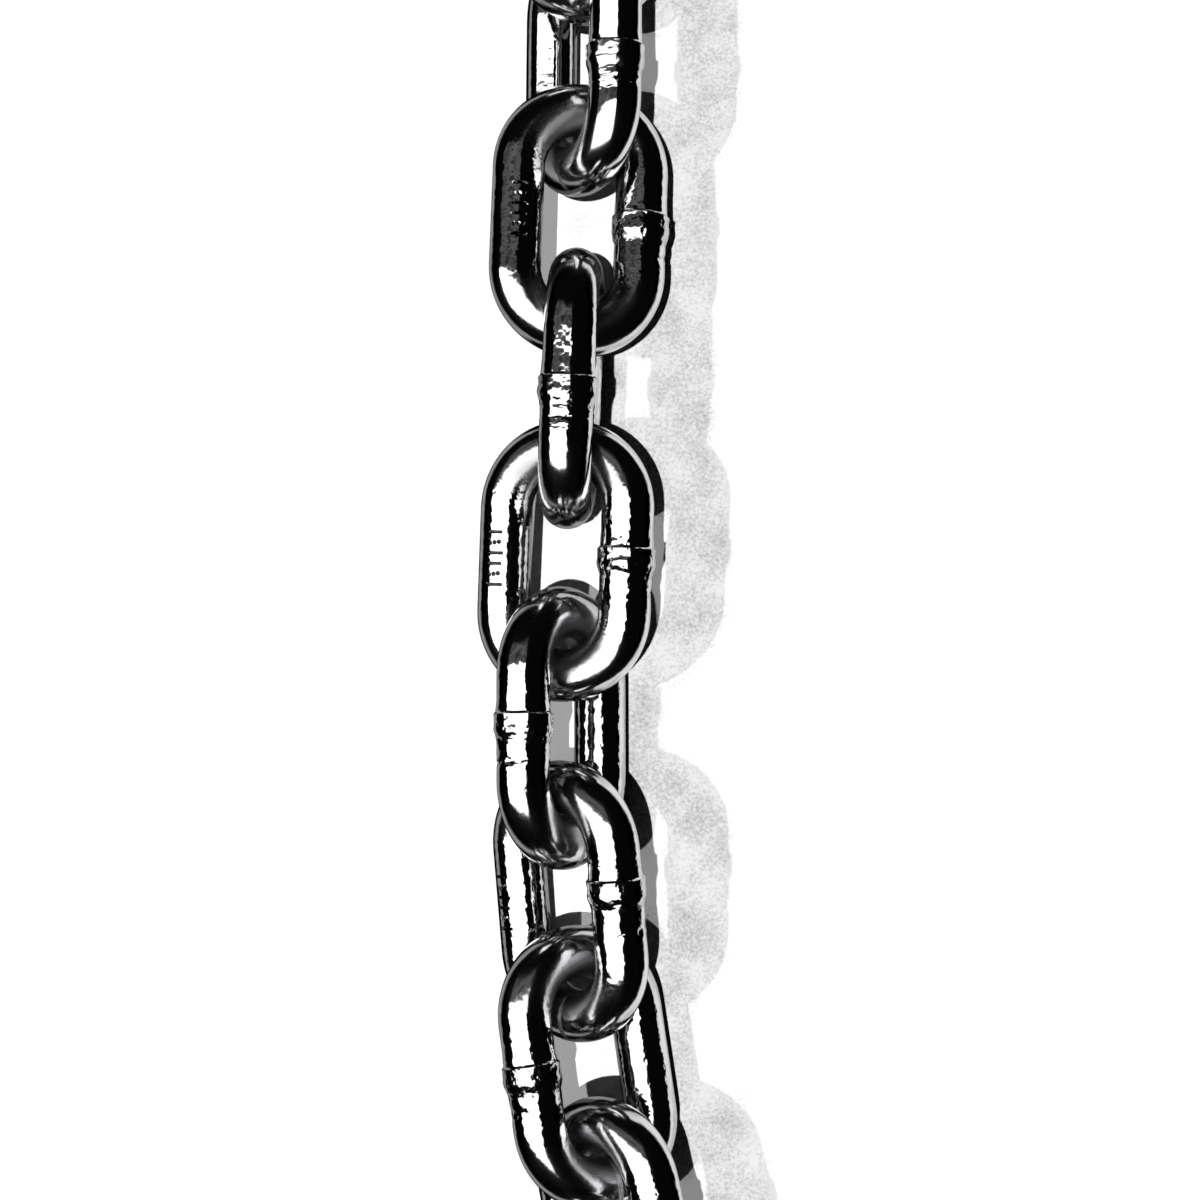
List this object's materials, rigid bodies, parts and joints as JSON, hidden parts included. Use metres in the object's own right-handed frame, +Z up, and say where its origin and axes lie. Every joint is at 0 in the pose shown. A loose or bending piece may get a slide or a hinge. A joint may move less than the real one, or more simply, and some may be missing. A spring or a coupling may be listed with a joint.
{
  "type": "short-link anchor chain length",
  "caption": "Length of polished short-link steel chain laid out on the floor: round-wire oval links, each butt welded on one side, rolled one against the next and gently bowed.",
  "frame": {"origin": "on the floor, under the middle of the laid chain's box", "axes": "+Z up from the floor the chain lies on, +Y along the laid chain towards link_01, +X to its side"},
  "size_m": [0.0544, 1.027, 0.0279],
  "materials": {
    "bright_steel": "mirror-bright polished steel with fine polishing scratches and slightly duller welds"
  },
  "bodies": {
    "root": {"link_01": "bright_steel", "link_02": "bright_steel", "link_03": "bright_steel", "link_04": "bright_steel", "link_05": "bright_steel", "link_06": "bright_steel", "link_07": "bright_steel", "link_08": "bright_steel", "link_09": "bright_steel", "link_10": "bright_steel", "link_11": "bright_steel", "link_12": "bright_steel", "link_13": "bright_steel", "link_14": "bright_steel", "link_15": "bright_steel", "link_16": "bright_steel", "link_17": "bright_steel", "link_18": "bright_steel", "link_19": "bright_steel", "link_20": "bright_steel", "link_21": "bright_steel", "link_22": "bright_steel", "link_23": "bright_steel", "link_24": "bright_steel", "link_25": "bright_steel", "link_26": "bright_steel", "link_27": "bright_steel", "link_28": "bright_steel", "link_29": "bright_steel", "link_30": "bright_steel", "link_31": "bright_steel", "link_32": "bright_steel", "link_33": "bright_steel", "link_34": "bright_steel", "link_35": "bright_steel", "link_36": "bright_steel", "link_37": "bright_steel", "link_38": "bright_steel"}
  },
  "joints": []
}
